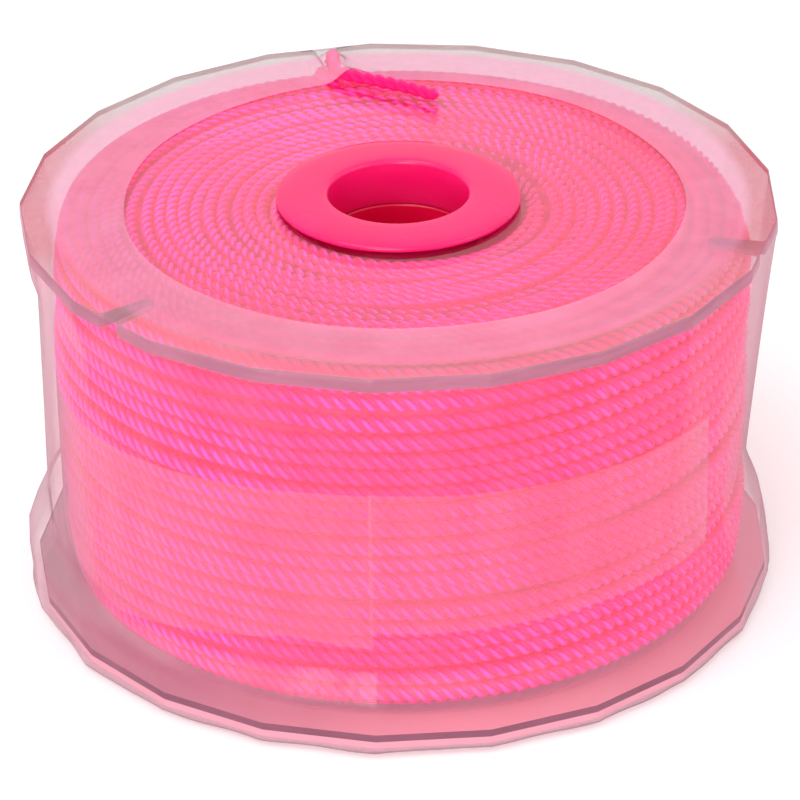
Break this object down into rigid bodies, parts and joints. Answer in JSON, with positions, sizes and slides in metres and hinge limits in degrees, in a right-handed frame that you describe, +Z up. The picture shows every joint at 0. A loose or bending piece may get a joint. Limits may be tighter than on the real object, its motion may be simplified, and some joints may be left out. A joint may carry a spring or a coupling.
{
  "type": "fishing line spool",
  "caption": "Squat spool of twisted pink line between clear many-sided plates, turning on a flanged hub bush, in clear shrink film.",
  "frame": {"origin": "middle of the base, on the spool's axis, at the height of the lower hub flange's underside", "axes": "+Z up along the spool's axis; the upper plate's first notch points 102 degrees from +X"},
  "size_m": [0.0764, 0.0764, 0.044],
  "materials": {
    "clear_plastic": "clear moulded polystyrene, polished",
    "hub_plastic": "satin injection-moulded plastic",
    "line": "bright three-strand twisted nylon",
    "film": "clear shrink film, slightly hazy",
    "label": "clear blank label film"
  },
  "bodies": {
    "hub": {"upper_hub": "hub_plastic", "lower_hub": "hub_plastic"},
    "spool": {"upper_spool_half": "clear_plastic", "lower_spool_half": "clear_plastic", "line_winding": "line", "line_tail": "line", "shrink_film": "film", "label_band": "label"}
  },
  "joints": [
    {"name": "spool_spin", "type": "hinge", "parent": "hub", "child": "spool", "pos_m": [0, 0, 0.0214], "axis": [0, 0, 1], "continuous": true}
  ]
}
